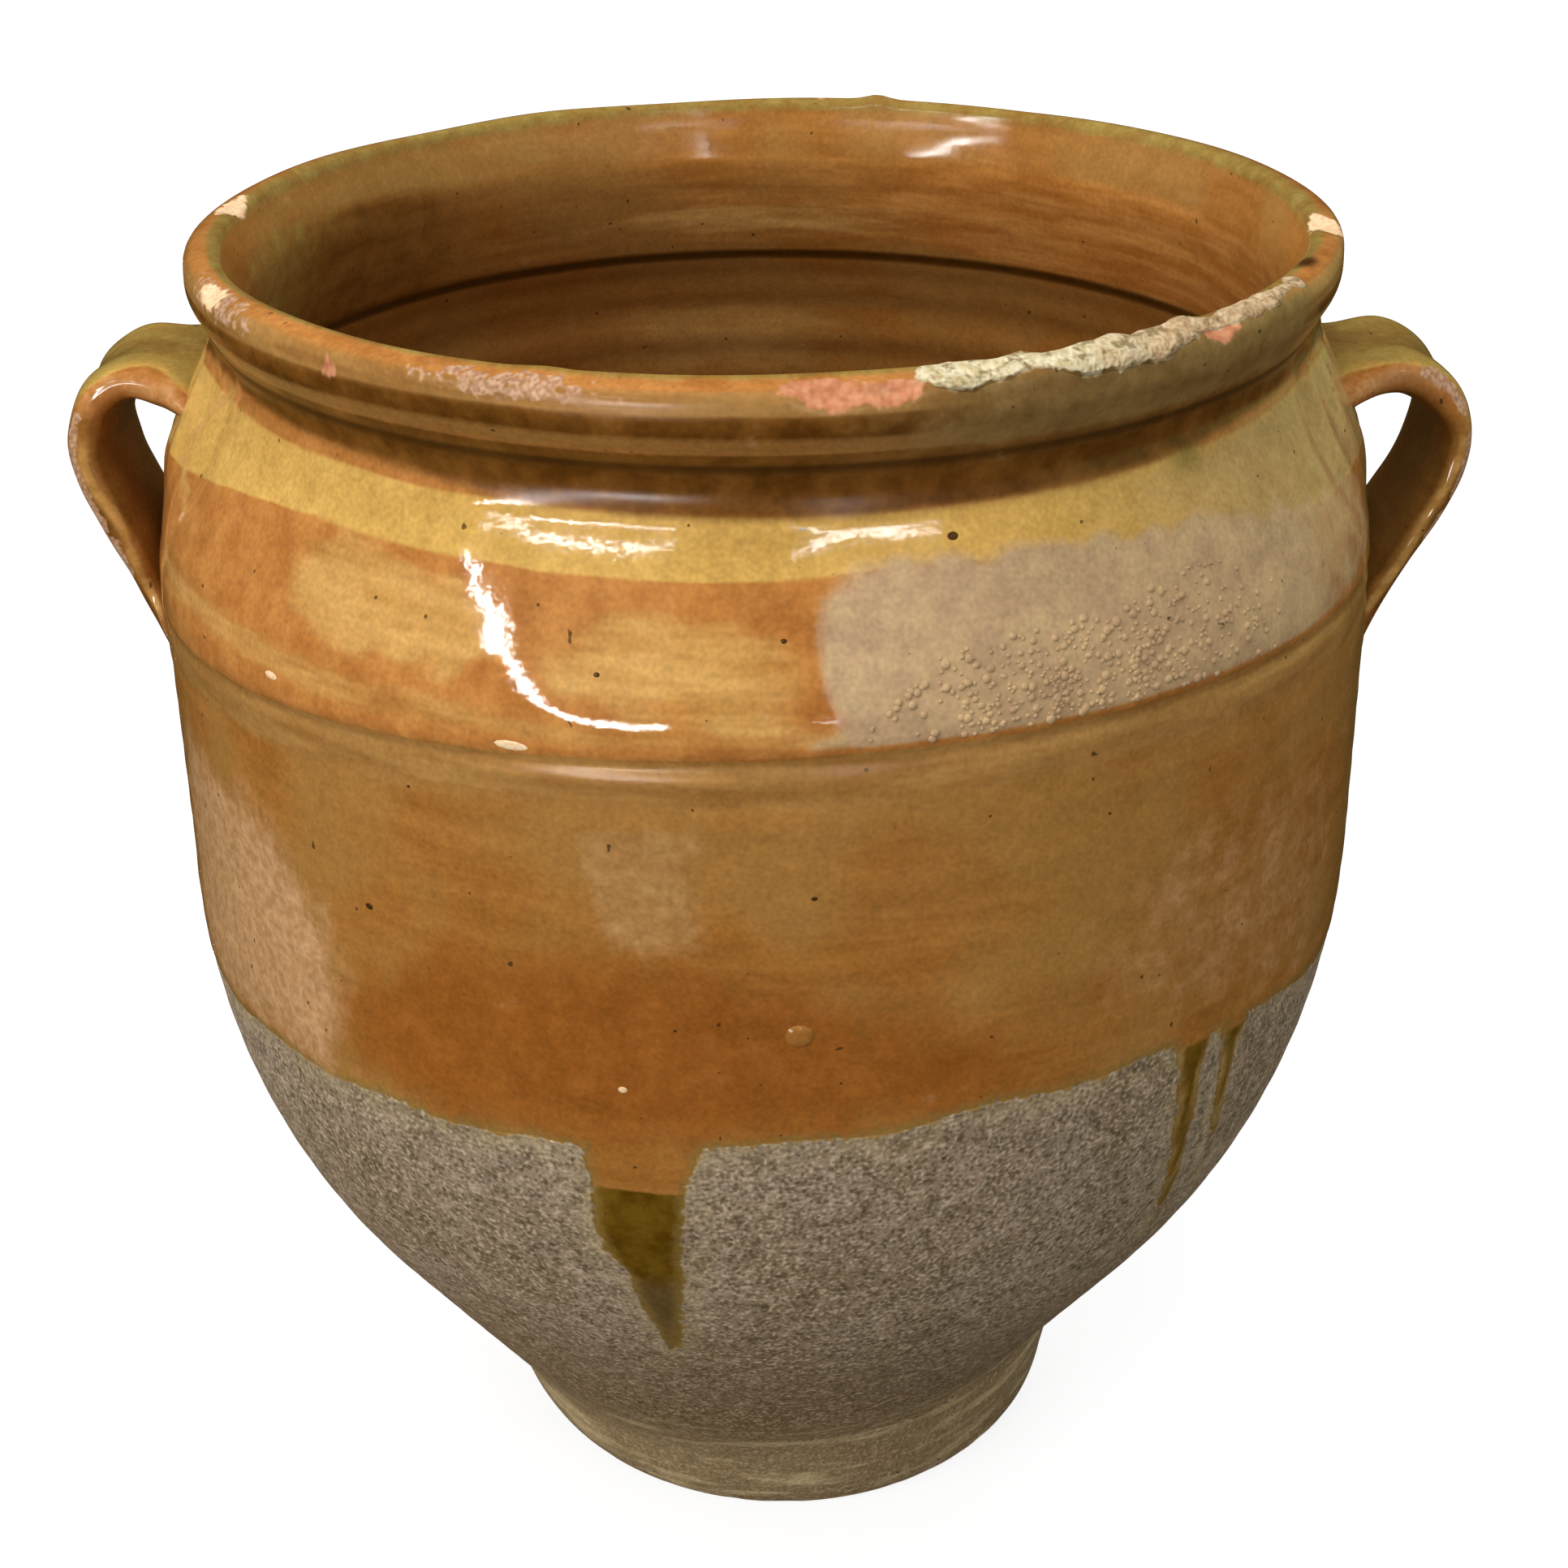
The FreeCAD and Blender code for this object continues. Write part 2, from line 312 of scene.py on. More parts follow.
def walk(line, step_of):
    """Pick rows along a close line, so that the gap between rows is what step_of says there."""
    gaps = norm(np.diff(line, axis=0), axis=1)
    travel = np.concatenate([[0], np.cumsum(gaps)])
    stops = [0.0]
    while stops[-1] < travel[-1]:
        here = [np.interp(stops[-1], travel, line[:, k]) for k in (0, 1)]
        stops.append(stops[-1] + step_of(*here))
    stops = np.array(stops) * travel[-1] / stops[-1]
    return np.array([np.interp(stops, travel, line[:, k]) for k in (0, 1)]).T


def outside_step(radius, z):
    """Rows lie close where there is something to see: drips, tool line, rim."""
    for top, step in ((7, 1.1), (36, 2.0), (80, 2.5), (150, 1.9), (196, 3.2), (222, 1.05), (250, 2.0)):
        if z < top:
            return step
    return 0.8


def inside_step(radius, z):
    """Rows inside lie close near the lip, and wide down in the dark."""
    return 0.9 if z > 262 else 1.5 if z > 205 else 4.6


outer_line = rounded_line(outside_corners + inside_corners[:1])
inner_line = rounded_line(outside_corners[-1:] + inside_corners)
crest = np.array(outside_corners[-1][:2])
outer_line = outer_line[:np.argmin(norm(outer_line - crest, axis=1)) + 1]
outer_rows = walk(outer_line, outside_step)
inner_rows = walk(inner_line, inside_step)[1:-1]
underside_share = np.array([0.12, 0.3, 0.5, 0.68, 0.82, 0.92, 0.97])
print("rows outside", len(outer_rows), "inside", len(inner_rows))

# %% [markdown]
# ## The grid
# Rows times columns stay under 100,000 quads. Each point knows its turn about the axis, in degrees from
# the right handle, with the front at -90, and its height and side. All marks below are written with those.

# %% Grid
row_radius = np.concatenate([np.zeros(len(underside_share)), outer_rows[:, 0], inner_rows[:, 0]])
row_height = np.concatenate([np.zeros(len(underside_share)), outer_rows[:, 1], inner_rows[:, 1]])
under_count, outer_count = len(underside_share), len(outer_rows)
row_count = len(row_radius)
column_count = 99000 // row_count
turn = np.radians(np.arange(column_count) * 360.0 / column_count - 180.0)[None, :]
radius = np.repeat(row_radius[:, None], column_count, 1)
z = np.repeat(row_height[:, None], column_count, 1)
rows = np.arange(row_count)[:, None]
is_under = rows < under_count
is_outer = (rows >= under_count) & (rows < under_count + outer_count)
is_inner = rows >= under_count + outer_count
degrees = np.degrees(turn) + 0 * z
arc_step = norm(np.diff(np.stack([row_radius, row_height], 1), axis=0), axis=1)
along_wall = np.concatenate([[0], np.cumsum(arc_step)])
crest_row = under_count + outer_count - 1
over_lip = (along_wall - along_wall[crest_row])[:, None] + 0 * turn
print("grid", row_count, "by", column_count)


def ease(value, low, high):
    """Go smoothly from 0 at low to 1 at high."""
    t = np.clip((value - low) / (high - low), 0, 1)
    return t * t * (3 - 2 * t)


def fade(value, low, high):
    """Go smoothly from 1 at low to 0 at high."""
    return 1 - ease(value, low, high)


def bell(value, middle, width):
    """Return a soft peak, 1 at its middle and nearly 0 at two widths from it."""
    return np.exp(-((value - middle) / width) ** 2)


def away(from_turn):
    """Return how far each point is turned from a place on the pot, in degrees from -180 to 180."""
    return (degrees - from_turn + 180) % 360 - 180


wall_radius = 115


def spot(at_turn, at_z, wide, tall):
    """A soft round patch outside, 1 in its middle. Its place is a turn and a height, its size in mm."""
    u = np.radians(away(at_turn)) * wall_radius / (wide / 2)
    v = (z - at_z) / (tall / 2)
    return np.exp(-(u * u + v * v)) * is_outer


def wander(waves, length, seed, count=5):
    """Smooth random values of about -1 to 1 that join up after a full turn."""
    rng = np.random.default_rng(seed)
    total = 0 * z
    for wave in waves:
        for _ in range(count):
            slope = rng.normal(0, 2 * math.pi / length)
            total = total + np.cos(wave * turn + slope * along_wall[:, None] + rng.uniform(0, 2 * math.pi))
    return total / math.sqrt(len(waves) * count / 2) / 1.6


# %% [markdown]
# ## Where the glaze ends
# The pot was held by its foot and dipped, so the glaze ends in a slightly sloping line round the belly.
# One long drip ran down at the front, and two short ones at the right. The distance to that edge, in mm
# and above 0 in the glaze, drives the thickness here and the colours later.

# %% Glaze edge and drips
edge_turns = [-180, -151, -144, -133, -121, -111, -106, -94, -86, -73, -58, -50, -38,
              -20, 20, 70, 120, 160, 180]
edge_heights = [133, 134.8, 137.4, 138.6, 139.4, 142.1, 141.5, 144.8, 146.2, 148.1, 149.1, 147.8, 143.4,
                138, 131, 134, 139, 136, 133]
edge_line = np.interp(degrees, edge_turns, edge_heights) + 0.8 * wander(range(9, 30, 4), 4000, 11)
glaze = (z - edge_line) * 0.97


def drip(heights, left_turns, right_turns):
    """Return the distance inside a run of glaze whose two sides are given at a few heights."""
    left = np.interp(z, heights, left_turns)
    right = np.interp(z, heights, right_turns)
    inside = np.minimum(degrees - left, right - degrees) * math.radians(1) * radius
    return np.minimum(inside, (z - heights[0]) * 0.9)


long_drip = drip([84, 90, 100, 111, 116, 122, 135, 146, 150],
                 [-100.4, -100.9, -102.2, -103.1, -104.7, -105.6, -105.5, -106.6, -109],
                 [-99.6, -98.9, -98.4, -98.0, -97.9, -97.7, -97.4, -95.6, -93])
short_drip = drip([98, 112, 125, 140, 152],
                  [-48.3, -50.0, -51.4, -52.4, -54], [-47.5, -48.0, -49.0, -49.4, -48])
thin_drip = drip([106, 122, 139, 152], [-42.9, -45.4, -46.7, -47.5], [-42.2, -43.9, -44.6, -42])
drips = np.maximum.reduce([long_drip, short_drip, thin_drip])
below_edge = ease(edge_line - z, -1, 2)
glaze = np.maximum(glaze, drips)
edge_reach = 12.0
glaze = np.clip(glaze, -edge_reach, edge_reach)
glaze = np.where(is_inner, edge_reach, np.where(is_under, -edge_reach, glaze))
print("glaze reaches down to", round(float(z[(glaze > 0) & is_outer].min()), 1), "mm above the floor")

# %% [markdown]
# ## Worn and broken places
# Chips show the pink clay under the glaze. Along the front right of the lip the glaze is gone, and a
# pale limy crust sits there instead. A chip is an oval on the lip: its turn, its place across the lip
# in mm (outside below 0, inside above 0), its width and height, and how deep it bites. A lump has the
# same five numbers, and stands up by the last one.

# %% Chips, crust and lump
pink_chips = [(-84.2, -4.0, 12, 6.0, 1.3), (-80.2, -4.4, 11, 5.0, 1.2), (-87.0, -2.6, 7, 4, 0.8),
              (-46.6, -3.0, 10, 5.5, 1.1), (-130.1, -6.8, 3.6, 4.2, 0.5), (96, -2.4, 16, 3.5, 0.4),
              (56, -2.0, 13, 3, 0.4), (82, -1.5, 15, 3.5, 0.4)]
cream_chips = [(-9.4, -0.5, 11, 8, 1.4), (174.6, 0.6, 13, 5, 1.0), (-152, -3.4, 11, 4.5, 0.6)]


lip_radius = 106


def lip_oval(at, across, wide, tall):
    """Return how far each point is from a place on the lip: 1 on an oval of that size, squared."""
    u = np.radians(away(at)) * lip_radius / (wide / 2)
    v = (over_lip - across) / (tall / 2)
    return u * u + v * v


def chip_field(chips):
    """Return the distance inside the nearest chip, and how deep the chips bite."""
    inside = 0 * z - edge_reach
    bite = 0 * z
    ragged = 1 + 0.22 * wander(range(20, 70, 7), 12, 21)
    for at, across, wide, tall, depth in chips:
        this = (ragged - np.sqrt(lip_oval(at, across, wide, tall))) * min(wide, tall) / 2
        inside = np.maximum(inside, this)
        bite = np.maximum(bite, depth * ease(this, 0, 1.6))
    return inside, bite


pink, pink_bite = chip_field(pink_chips)
cream, cream_bite = chip_field(cream_chips)

crust_turn = ease(degrees, -82, -74) * fade(degrees, -34, -28)
crust_wide = 3.3 - 1.3 * ease(degrees, -60, -38) + 1.3 * wander(range(8, 40, 5), 4000, 31)
crust_wide = crust_wide + 0.7 * wander(range(50, 130, 9), 4000, 32)
crust = crust_wide - np.abs(over_lip + 1.2)
crust = np.where((is_outer | is_inner) & (z > 262), np.minimum(crust, (crust_turn - 0.5) * 12), -edge_reach)
crust_rise = ease(crust, -0.6, 1.4) * (0.25 + 0.32 * wander(range(40, 120, 9), 4, 33))

lumps = [(75, -0.4, 7, 6, 1.3), (-68, 1.5, 4.5, 5, 0.9), (-50, 1.8, 6, 5, 1.2), (-59, 0.5, 9, 6, 0.7),
         (-109, -1.0, 9, 5, 0.5), (-113.5, -2.2, 5, 4, -0.5), (-106.5, -1.6, 4, 4, -0.4)]
lump_rise = 0 * z
for at, across, wide, tall, rise in lumps:
    lump_rise = lump_rise + rise * np.exp(-lip_oval(at, across, wide, tall))
print("chips", len(pink_chips) + len(cream_chips), "lumps", len(lumps))

# %% [markdown]
# ## Forming the wall
# Now the clean section becomes this pot. The foot was turned a little off centre. The thrower's rib left
# a line round the shoulder that dips at the back. Each handle is smeared on to the neck at its root, and
# on to the shoulder at its heel, as a pad. The rings that the thrower's fingers leave run round inside.

# %% Form
def foot_radius_at(above):
    """Return the foot's own radius at a height above the floor."""
    return 60.9 + 3.4 * (1 - np.exp(-above / 6.0)) + 0.1 * above


foot_off = 4.2
foot_edge = foot_off * np.cos(turn) + np.sqrt(foot_radius_at(z) ** 2 - (foot_off * np.sin(turn)) ** 2)
worn_edge = np.clip(wander(range(9, 60, 6), 9, 41), 0, 2)
foot_edge = foot_edge - 1.1 * ease(z, 2.2, 0) - 0.5 * ease(z, 3, 0) * worn_edge
gap = foot_edge - radius
blend_mm = 2.2
joined = np.maximum(foot_edge, radius) + blend_mm * 0.25 * np.clip(1 - np.abs(gap) / blend_mm, 0, 1) ** 2
radius = np.where(is_outer & (z < 45), joined, radius)
edge_now = radius[under_count:under_count + 1]
shares = np.concatenate([underside_share, np.zeros(row_count - under_count)])[:, None]
radius = np.where(is_under, shares * edge_now, radius)

above_line = z - (208.0 + 11.0 * np.cos(np.radians(degrees + 68)))
line_step = 0.45 * ease(above_line, -0.5, 1.0) * fade(above_line, 4, 26)
line_groove = -0.45 * bell(above_line, -1.3, 1.2) - 0.15 * bell(above_line, -6, 3)

handle_turns = {"left": 180.0, "right": 0.0}
pads = 0 * z
pad_edge = 0 * z
for side, at in handle_turns.items():
    reach = 20.5 + 3.5 * np.cos((z - 246) / 9.0)
    across = np.abs(away(at)) - reach
    tall = ease(z, 222, 236) * fade(z, 256, 262)
    pads = pads + tall * (2.4 * ease(-across, 0, 9) + 0.9 * bell(across, -1.5, 1.6))
    pad_edge = pad_edge + tall * bell(across, 1.2, 1.3)
    heel_across = np.abs(away(at)) * 2.05
    pads = pads + 2.1 * np.exp(-(heel_across / 19) ** 4) * ease(z, 180, 192) * fade(z, 198, 208)
pads = pads - 0.5 * pad_edge
shoulder_arch = 0.75 * np.clip(1 - ((z - 235) / 16) ** 2, -0.4, 1)
shoulder_arch = shoulder_arch * ease(z, 214, 222) * fade(z, 250, 256)
smears = 0.22 * ease(pads, 0.5, 2) * np.cos(np.radians(degrees) * 70 + z / 9)

rings_outside = 0.05 * np.sin(along_wall[:, None] / 1.35 + turn) * ease(z, 20, 60) * fade(z, 225, 240)
rings_inside = 0.55 * np.sin((z - 236) / 1.9 + 0.6 * turn / math.pi)
rings_inside = rings_inside * ease(z, 20, 60) * fade(z, 226, 236)
band_of_throat = ease(z, 246, 256) * fade(z, 271, 275)
rings_throat = 0.12 * np.sin(z * 2.1 + turn) * ease(z, 240, 243) * fade(z, 258, 264)
throat_arch = 1.3 * np.clip(1 - ((z - 264) / 9.5) ** 2, 0, 1) - 0.4 * band_of_throat
skin = 0.18 * ease(glaze, -0.2, 0.9) + 0.14 * bell(glaze, 1.4, 1.0)
skin = skin + 0.35 * ease(drips, 0, 3.5) * fade(z, 134, 150)
hand = 0.28 * np.cos(2 * turn) + 0.12 * wander(range(2, 7), 220, 51)

skin_depth = 0.45
worked = hand + shoulder_arch + line_step + line_groove + pads + smears + rings_outside + skin - skin_depth
outward = np.where(is_outer, worked, 0)
outward = outward + np.where(is_inner, hand * 0.5 - rings_inside - rings_throat - throat_arch, 0)
outward = outward * ease(np.where(is_under, 0, z), 0, 14)
print("pads stand", round(float(pads.max()), 1), "mm proud")

# %% [markdown]
# Moving a point outwards is right on a wall, but the lip turns over, so there it has to move along its
# own normal. We take the section's normal at each row and push every point along it.

# %% Push along the normal, tilt the rim, and shift the axis
slope = np.gradient(np.stack([row_radius, row_height], 1), axis=0)
slope /= norm(slope, axis=1)[:, None] + 1e-9
normal_out, normal_up = slope[:, 1][:, None], -slope[:, 0][:, None]
normal_out = np.where(is_under, 0, normal_out)
normal_up = np.where(is_under, 0, normal_up)
on_lip = ease(z, 262, 266)
uneven_lip = 0.18 * wander(range(3, 16), 4000, 61)
lip_rise = on_lip * (crust_rise + lump_rise - pink_bite - cream_bite + uneven_lip)
sign_in = np.where(is_inner, -1.0, 1.0)
push = outward * sign_in + lip_rise
radius = radius + normal_out * push
z_now = np.maximum(z + normal_up * push * ease(z, 0, 12), 0)

axis_heights = [0, 45, 90, 155, 215, 276]
axis_shifts = [-1.1, -0.5, 0.5, 1.5, 0.8, 0.8]
axis_shift = np.interp(z_now, axis_heights, axis_shifts) * np.where(is_under, 0, ease(z, 0, 10))
x = radius * np.cos(turn) + axis_shift
y = radius * np.sin(turn)
tilt = (0.0111 * x - 0.012 * (y + 104)) * ease(z_now, 215, 262) * np.where(is_inner & (z < 200), 0, 1)
z_now = z_now + tilt
z_now = np.minimum(z_now, cad_high.z / MM)
print("pot skin, mm:", round(float(x.min()), 1), round(float(x.max()), 1), round(float(np.abs(y).max()), 1),
      round(float(z_now.max()), 1))

# %% [markdown]
# ## Zones of colour
# The honey glaze is thin over the shoulder, where the clay makes it orange, and thick over white slip at
# the neck, where it is yellow. It pools brown in the hollows outside. Inside the pot and on the inner faces
# of the straps, the brown and dark zones also hold painted shade, and one pale patch on the belly is a
# painted reflection. Each zone is a soft mask from 0 to 1 that the shader breaks up with noise.

# %% Zones of the glaze
border_turns = [-180, -162, -145, -134, -117, -95, -79, -65, -55, -46, -36, -23, 20, 90, 150, 180]
border_heights = [234, 236.8, 242.4, 244.5, 244.3, 244.1, 245.1, 244.2, 241.6, 240.1, 236.7, 234.3,
                  236, 243, 239, 234]
over_border = z - np.interp(degrees, border_turns, border_heights)
ragged_z = z + 1.3 * wander(range(5, 80, 9), 24, 15)
ragged_turn = degrees + 0.9 * wander(range(5, 80, 9), 20, 16)


def zone(stops, soft, side_soft=3.0):
    """A soft patch on the outside. A stop is a turn, and the patch's lower and upper height there."""
    turns, lows, highs = zip(*stops)
    low, high = np.interp(ragged_turn, turns, lows), np.interp(ragged_turn, turns, highs)
    tall = ease(ragged_z, low - soft, low + soft) * fade(ragged_z, high - soft, high + soft)
    sides = ease(ragged_turn, turns[0] - side_soft, turns[0] + side_soft)
    sides = sides * fade(ragged_turn, turns[-1] - side_soft, turns[-1] + side_soft)
    return np.where(is_outer, tall * sides, 0)


def band(low, high, soft):
    """A soft band right round, between two heights."""
    return ease(z, low - soft, low + soft) * fade(z, high - soft, high + soft)


outside = is_outer * 1.0
inside = is_inner * 1.0
left_far = bell(away(168), 0, 22)
masks = {"glaze": glaze}
masks["shoulder"] = outside * ease(above_line, -0.8, 1.2)
below_tool_line = ease(above_line, -13, -5) * fade(above_line, -0.8, 0.8)
masks["ledge"] = outside * (below_tool_line + 0.95 * band(263, 274.5, 1))
front_glow = zone([(-132, 142, 158), (-118, 141, 178), (-98, 144, 182), (-80, 147, 172),
                   (-66, 149, 156)], 11, 11)
back_glow = zone([(30, 136, 150), (70, 138, 176), (110, 140, 150)], 9, 12)
masks["glow"] = np.clip(front_glow + back_glow, 0, 1)
masks["salmon"] = np.clip(zone([(-160, 134, 190), (-138, 139, 186), (-130, 139, 172)], 10, 5)
                          + 0.42 * zone([(-62, 160, 186), (-50, 150, 196), (-26, 142, 190)], 12, 9)
                          + 0.8 * zone([(60, 150, 180), (95, 145, 192), (130, 150, 176)], 10, 9), 0, 1)
# A painted reflection: a pale upright streak on the front of the belly.
masks["painted_reflection"] = 0.75 * zone([(-105, 182, 205), (-95.5, 182, 206)], 4.0, 1.8)
masks["yellow"] = outside * ease(over_border, -1.2, 1.2) * fade(z, 251, 255.5)
streaks = zone([(-134, 228, 242), (-120, 226, 241), (-112, 229, 238)], 2.5, 4)
streaks = streaks + 0.9 * zone([(-108, 226, 239), (-98, 224, 240), (-88, 223, 236)], 3, 4)
streaks = streaks + 0.6 * outside * band(217, 223, 3) * ease(above_line, 0, 3)
slip_ridge = np.interp(z, [229.6, 241.3, 260.2], [-156.9, -161.5, -153.9])
streaks = streaks + outside * band(229, 261, 3) * bell(degrees, slip_ridge, 1.1)
beige_inside = band(244, 251, 1.6) * bell(away(92), 0, 26)
low_inside = band(206, 222, 3.5) * bell(away(95), 0, 17)
low_inside = low_inside + 0.5 * band(222, 231, 2) * bell(away(75), 0, 12)
masks["dull_yellow"] = masks["yellow"] * ease(degrees, -74, -38) * fade(degrees, 10, 40)
masks["streaks"] = np.clip(streaks + inside * (0.75 * beige_inside + 0.7 * low_inside), 0, 1)
orange = band(239, 262, 2) * bell(away(38), 0, 30)
orange = orange + 0.6 * band(200, 232, 6) * bell(away(110), 0, 30) + 0.4 * band(240, 266, 3)
masks["orange"] = np.clip(inside * orange, 0, 1)
olive = outside * 0.75 * ease(away(-16), -14, 4) * (1 - ease(away(-12), 50, 90)) * ease(z, 140, 160)
olive = olive * (1 - 0.6 * ease(z, 225, 245))
olive = olive + 0.35 * zone([(-64, 250, 257), (-44, 243, 257), (-24, 240, 256)], 3, 8)
olive = olive + 0.6 * zone([(-50, 219, 222), (-24, 219, 226)], 2, 5)
olive = olive + 0.6 * spot(-48.4, 253, 9, 6) + 0.45 * spot(-39.6, 241, 7, 5)
olive = olive + inside * (0.75 * left_far * band(236, 268, 3))
olive = olive + 0.8 * ease(over_lip, -1, 0.5) * fade(over_lip, 3, 6)
masks["olive"] = np.clip(olive * np.where(is_under, 0, 1), 0, 1)
print("zones of the glaze:", ", ".join(masks))

# %% [markdown]
# Glaze runs before it sets, so it lies thick and brown in every hollow outside: under the rim band, in
# the crease and along the tool line. Inside, painted shade darkens a line under the overhang, the wall
# further down, and the inner wall at the left.

# %% Pools
pool_low = np.interp(degrees, [-180, -150, -128, -110, -90, -60, -40, -20, 40, 90, 140, 180],
                     [256, 255.5, 254.2, 252.6, 251.6, 252, 253.5, 255, 255, 253, 255, 256])
pool = ease(z, pool_low - 1.5, pool_low + 3) * fade(z, 262.3, 263.6)
under_band = 0.95 * band(266.6, 270.4, 0.9) + 0.45 * band(262.5, 267, 0.8)
tool_line = 0.42 * bell(above_line, -1.1, 0.9)
pool = pool + under_band + tool_line + 0.45 * pad_edge
# Painted shade inside: a dark line under the overhang, brown below it, and the shaded inner wall at the left.
inner_shade = 0.95 * bell(z, 237.6, 1.5) + 0.42 * fade(z, 232, 238)
inner_shade = inner_shade + 0.7 * band(238, 266, 3) * bell(away(148), 0, 24)
masks["brown_and_painted_shade"] = np.clip(outside * pool + inside * inner_shade, 0, 1)
moss = np.exp(-(away(-25) / 2.6) ** 2 - ((over_lip - 0.4) / 2.6) ** 2) * (z > 262)
crease = outside * (0.85 * bell(z, 260.6, 0.9) + 0.3 * band(254, 260, 1.5))
# Painted shade deep inside: darker further down, and darkest in a line under the overhang.
deep_painted_shade = inside * (0.3 * fade(z, 150, 225) + 0.9 * bell(z, 237.4, 1.7))
masks["dark"] = np.clip(np.clip(crease + deep_painted_shade, 0, 1) + moss, 0, 1)
print("darkest pool:", round(float(masks["dark"].max()), 2))

# %% [markdown]
# The rest is age and accident: a patch that never melted clear, dust and wear on the rim, chips, crust,
# and the drips, which are dark where they are thick.

# %% Wear and drips
matte_stops = [(-85.5, 214, 243), (-79, 213, 246.5), (-66, 213, 246), (-56.9, 214, 244),
               (-44, 216, 241), (-30, 217, 238), (-16, 219, 234)]
masks["matte"] = zone(matte_stops, 3.2, 1.6) * ease(above_line, 0.2, 2.2)
masks["matte"] = masks["matte"] * (1 - 0.45 * ease(degrees, -46, -28))
dusty_side = ease(ragged_turn, -90, -66) * fade(ragged_turn, -36, -24)
masks["dusty"] = outside * dusty_side * band(262.5, 274.8, 1.5)
speckled = bell(away(-112), 0, 9) + bell(away(-150), 0, 9)
speckled = speckled + 0.2 * bell(away(-20), 0, 11)
worn_lip = ease(z, 269.5, 272.5) * fade(over_lip, -2, 1)
masks["worn"] = np.clip(speckled * 0.7 + 0.18, 0, 1) * worn_lip * outside
masks["pink"] = np.clip(pink, -edge_reach, edge_reach)
masks["cream"] = np.clip(cream, -edge_reach, edge_reach)
masks["crust"] = crust
old_share = 0.15 + 0.85 * ease(degrees, -66, -48)
masks["old_crust"] = np.where(crust > -3, ease(crust, -0.5, 0.5) * old_share, 0)
run_down = np.where(is_outer, ease(long_drip, -0.8, 0.4) * fade(z, 132.6, 133.8), 0)
side_drips = np.maximum(short_drip, thin_drip)
masks["run"] = np.clip(run_down + 0.75 * below_edge * ease(side_drips, 0.2, 1.4), 0, 1)
masks["thin_run"] = run_down * fade(z, 103, 117)
masks["pale_run"] = below_edge * ease(side_drips, -0.8, 0.0) * (1 - masks["run"]) * outside
print("zones:", ", ".join(masks))

# %% [markdown]
# ## Making the mesh
# The rows close at two points, one under the foot and one on the floor inside, so the pot is a single
# watertight skin. Each mask goes with it as an attribute of its points.

# %% Pot mesh
def make_piece(name, points, faces, point_masks):
    """Make a smooth mesh object from points in mm, and store its masks as point attributes."""
    mesh = bpy.data.meshes.new(name)
    mesh.from_pydata((np.asarray(points) * MM).tolist(), [], faces)
    mesh.polygons.foreach_set("use_smooth", np.ones(len(mesh.polygons), bool))
    for mask_name, values in point_masks.items():
        layer = mesh.attributes.new(mask_name, "FLOAT", "POINT")
        layer.data.foreach_set("value", np.asarray(values, np.float32))
    mesh.validate()
    return put(name, mesh)


def with_ends(values, first, last):
    """Flatten a grid of values and add one for each of the two closing points."""
    return np.concatenate([values.reshape(-1), [first, last]])


def tube_faces(row_total, column_total, flip=False):
    """Return the faces of a tube of rows of points, whose ends close on the two points after them."""
    faces = []
    for row in range(row_total - 1):
        here, above = row * column_total, (row + 1) * column_total
        for column in range(column_total):
            after = (column + 1) % column_total
            faces.append((here + column, here + after, above + after, above + column))
    first_end, last_row = row_total * column_total, (row_total - 1) * column_total
    for column in range(column_total):
        after = (column + 1) % column_total
        faces.append((first_end, after, column))
        faces.append((first_end + 1, last_row + column, last_row + after))
    return [face[::-1] for face in faces] if flip else faces


def glazed_all_over(shape):
    """Return the masks of a piece that is glazed all over, with no zone, chip or crust on it."""
    blank = {name: np.zeros(shape) for name in masks}
    blank["glaze"] = np.full(shape, edge_reach)
    for name in ("pink", "cream", "crust"):
        blank[name] = np.full(shape, -edge_reach)
    return blank


points = np.stack([with_ends(x, foot_off, 0.0), with_ends(y, 0.0, 0.0), with_ends(z_now, 0.0, 13.0)], 1)
bare_ends = (-edge_reach, -edge_reach)
ends = {"glaze": (-edge_reach, edge_reach), "pink": bare_ends, "cream": bare_ends, "crust": bare_ends}
pot = make_piece("pot_skin", points, tube_faces(row_count, column_count),
                 {k: with_ends(v + 0 * z, *ends.get(k, (0.0, 0.0))) for k, v in masks.items()})
print("pot skin has", len(pot.data.polygons), "faces")

# %% [markdown]
# ## Blisters and specks
# Where the glaze boiled and did not heal, the front right of the shoulder is covered in small blisters.
# They stand proud of the wall, so each is a low dome of its own. The same domes make the iron specks, the
# one big bubble under the glaze, and three pale nicks: one on the belly and two on the tool line.

# %% Blisters and specks
def on_wall(at_turn, at_z):
    """Return the place on the finished outer wall at a turn and a height of the clean section."""
    row = np.interp(at_z, row_height[under_count:crest_row], np.arange(under_count, crest_row))
    column = (at_turn + 180) / 360 * column_count
    low_row, low_column = int(row), int(column) % column_count
    next_column, up, along = (low_column + 1) % column_count, row - int(row), column - int(column)
    grid = np.stack([x, y, z_now], 2)[low_row:low_row + 2]
    below, above = grid[:, low_column] * (1 - along) + grid[:, next_column] * along
    return below * (1 - up) + above * up


